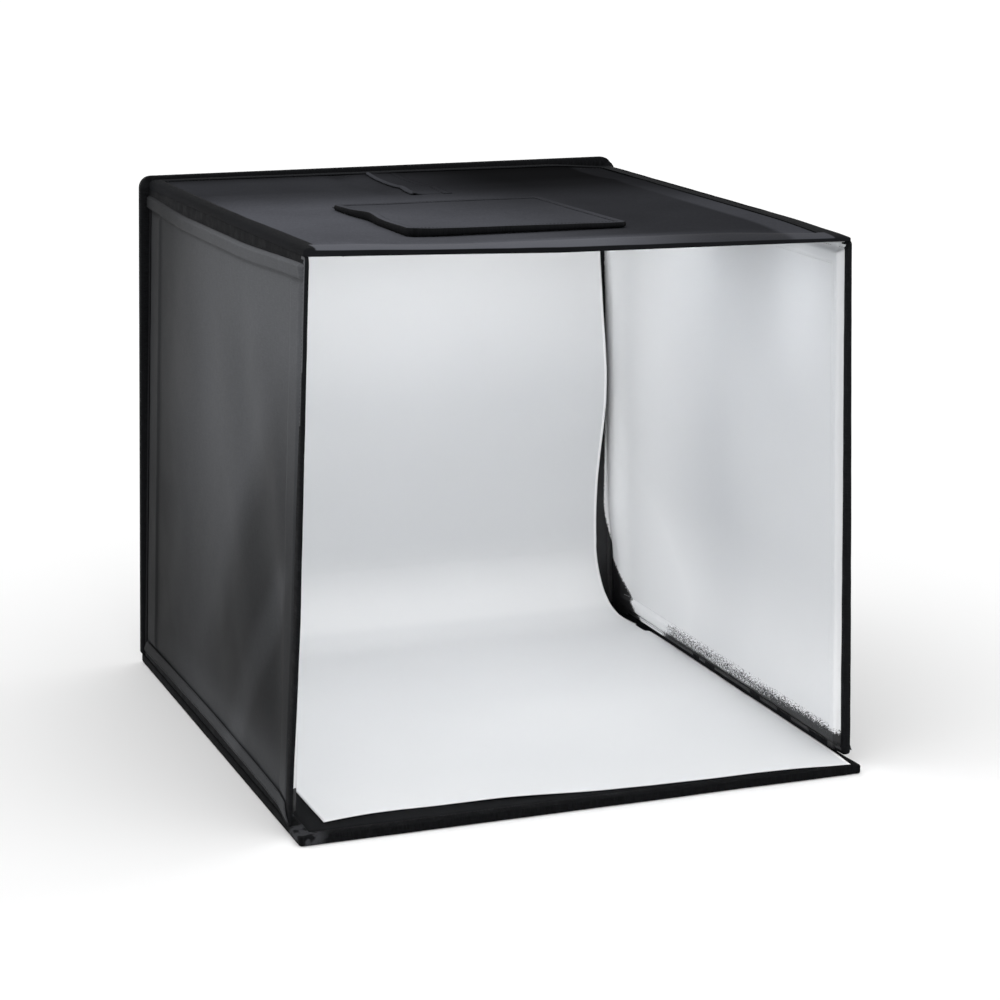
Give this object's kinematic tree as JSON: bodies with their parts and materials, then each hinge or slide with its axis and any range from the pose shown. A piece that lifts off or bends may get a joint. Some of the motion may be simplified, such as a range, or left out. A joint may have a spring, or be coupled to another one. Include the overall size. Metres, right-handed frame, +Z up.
{
  "type": "light tent cube",
  "caption": "Folding light tent cube: black cloth panels with a silver lining, a white swept backdrop, a lidded top window and light bars inside.",
  "frame": {"origin": "centre of the footprint of the base, on the surface that it stands on", "axes": "+Z up, +Y from the open front towards the back panel, +X to the right seen from the front"},
  "size_m": [0.6418, 0.671, 0.6046],
  "materials": {
    "black_cloth": "coated oxford cloth, soft sheen",
    "black_tape": "woven edge tape, matte",
    "silver_cloth": "silver coated cloth, satin",
    "white_sheet": "smooth white sheet, matte",
    "hook_tape": "hook and loop tape, matte",
    "board": "foamed plastic board",
    "spring_steel": "drawn spring wire",
    "aluminium": "anodised extrusion",
    "circuit_board": "white solder mask with diodes",
    "diffuser": "frosted",
    "black_plastic": "moulded, satin"
  },
  "bodies": {
    "base": {"base_cover": "black_cloth", "base_board": "board", "base_floor_cloth": "black_cloth", "base_binding": "black_tape", "backdrop_sheet": "white_sheet", "backdrop_loop_strip": "hook_tape"},
    "back_panel": {"back_cover": "black_cloth", "back_board": "board", "back_lining": "silver_cloth", "back_binding": "black_tape", "backdrop_hook_strip": "hook_tape"},
    "left_wall": {"left_wall_skin": "black_cloth", "left_wall_lining": "silver_cloth", "left_wall_wire": "spring_steel", "left_wall_binding": "black_tape", "left_wall_hem": "black_cloth", "left_wall_loop_strip": "hook_tape"},
    "right_wall": {"right_wall_skin": "black_cloth", "right_wall_lining": "silver_cloth", "right_wall_wire": "spring_steel", "right_wall_binding": "black_tape", "right_wall_hem": "black_cloth", "right_wall_loop_strip": "hook_tape"},
    "top_panel": {"top_rim": "black_tape", "top_wire": "spring_steel", "top_skin": "black_cloth", "top_lining": "silver_cloth", "window_frame": "black_cloth", "left_fastening_tab": "black_cloth", "right_fastening_tab": "black_cloth", "left_tab_hook_strip": "hook_tape", "right_tab_hook_strip": "hook_tape", "left_light_band": "hook_tape", "right_light_band": "hook_tape", "window_left_loop": "hook_tape", "window_right_loop": "hook_tape", "window_flap_hinge_tape": "black_tape", "cable_flap_hinge_tape": "black_tape"},
    "window_flap": {"window_flap_cover": "black_cloth", "window_flap_lining": "silver_cloth", "window_flap_binding": "black_tape", "window_flap_left_hook": "hook_tape", "window_flap_right_hook": "hook_tape"},
    "cable_flap": {"cable_flap": "black_cloth"},
    "front_light": {"front_light_channel": "aluminium", "front_light_board": "circuit_board", "front_light_diffuser": "diffuser", "front_light_left_cap": "black_plastic", "front_light_right_cap": "black_plastic", "front_light_inlet": "black_plastic", "front_light_left_pad": "hook_tape", "front_light_right_pad": "hook_tape"},
    "rear_light": {"rear_light_channel": "aluminium", "rear_light_board": "circuit_board", "rear_light_diffuser": "diffuser", "rear_light_left_cap": "black_plastic", "rear_light_right_cap": "black_plastic", "rear_light_inlet": "black_plastic", "rear_light_left_pad": "hook_tape", "rear_light_right_pad": "hook_tape"}
  },
  "joints": [
    {"name": "left_wall_hinge", "type": "hinge", "parent": "base", "child": "left_wall", "pos_m": [-0.3205, 0, 0.0103], "axis": [0, -1, 0], "range_deg": [0, 92]},
    {"name": "right_wall_hinge", "type": "hinge", "parent": "base", "child": "right_wall", "pos_m": [0.3205, 0, 0.0103], "axis": [0, 1, 0], "range_deg": [0, 92]},
    {"name": "back_panel_hinge", "type": "hinge", "parent": "base", "child": "back_panel", "pos_m": [0, 0.3355, 0.0103], "axis": [-1, 0, 0], "range_deg": [0, 90]},
    {"name": "top_panel_hinge", "type": "hinge", "parent": "back_panel", "child": "top_panel", "pos_m": [0, 0.3255, 0.6], "axis": [-1, 0, 0], "range_deg": [0, 90]},
    {"name": "window_flap_hinge", "type": "hinge", "parent": "top_panel", "child": "window_flap", "pos_m": [-0.048, 0.006, 0.60455], "axis": [-1, 0, 0], "range_deg": [0, 180]},
    {"name": "cable_flap_hinge", "type": "hinge", "parent": "top_panel", "child": "cable_flap", "pos_m": [-0.008, 0.198, 0.60065], "axis": [0, 1, 0], "range_deg": [0, 180]},
    {"name": "front_light_shift", "type": "slide", "parent": "top_panel", "child": "front_light", "axis": [0, 1, 0], "range_m": [-0.03, 0.004]},
    {"name": "rear_light_shift", "type": "slide", "parent": "top_panel", "child": "rear_light", "axis": [0, 1, 0], "range_m": [-0.03, 0.015]}
  ]
}
